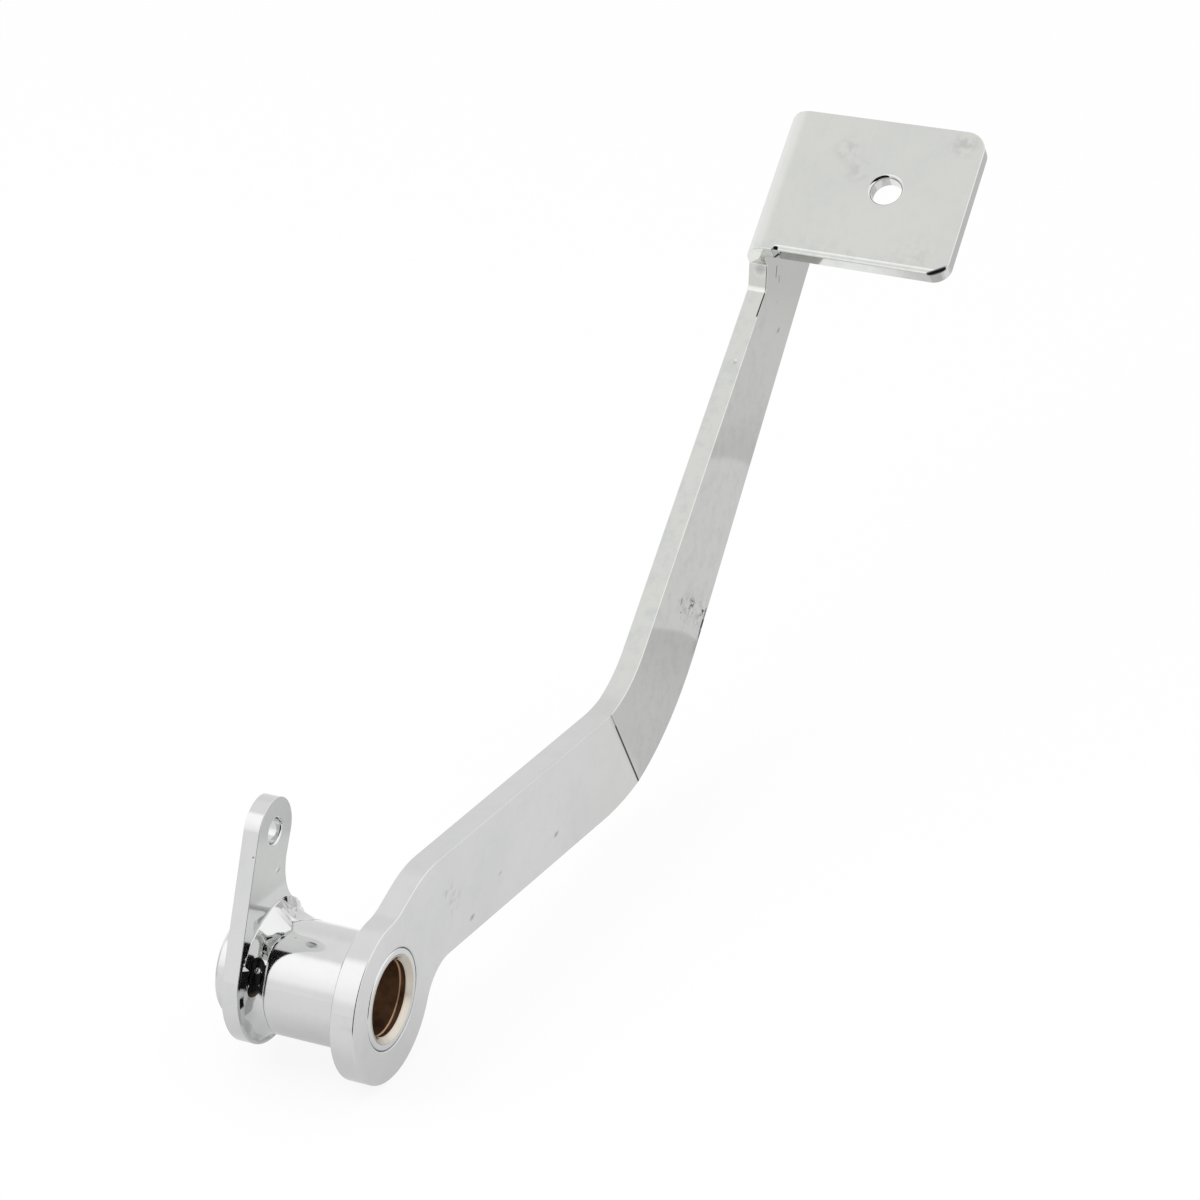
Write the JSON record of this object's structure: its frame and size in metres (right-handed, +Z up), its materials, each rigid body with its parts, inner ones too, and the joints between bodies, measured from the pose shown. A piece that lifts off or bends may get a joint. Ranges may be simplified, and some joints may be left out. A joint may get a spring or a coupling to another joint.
{
  "type": "motorcycle rear brake pedal",
  "caption": "Chromed rear brake pedal: a flat bent arm with a pivot eye and bushed tube, a folded foot pad with a bolt hole, and a short clevis lever.",
  "frame": {"origin": "middle of the pivot bore, on its axis, halfway between the outer face of the eye and the inner end of the pivot tube", "axes": "+Y along the pivot axis, from the eye on the outer side towards the brake lever on the inner side; +X forward along the arm towards the foot pad; +Z up, the way the foot pad and the clevis lever stand"},
  "size_m": [0.3064, 0.0869, 0.1537],
  "materials": {
    "chrome": "mirror-polished chrome plate on steel, with a few small pits",
    "weld": "chrome plate over dressed weld beads",
    "bronze": "turned sintered bronze, dark with oil in the bore"
  },
  "bodies": {
    "root": {"pedal_arm": "chrome", "pivot_tube": "chrome", "brake_lever": "chrome", "arm_weld": "weld", "lever_weld": "weld", "bush_outboard": "bronze", "bush_inboard": "bronze"}
  },
  "joints": []
}
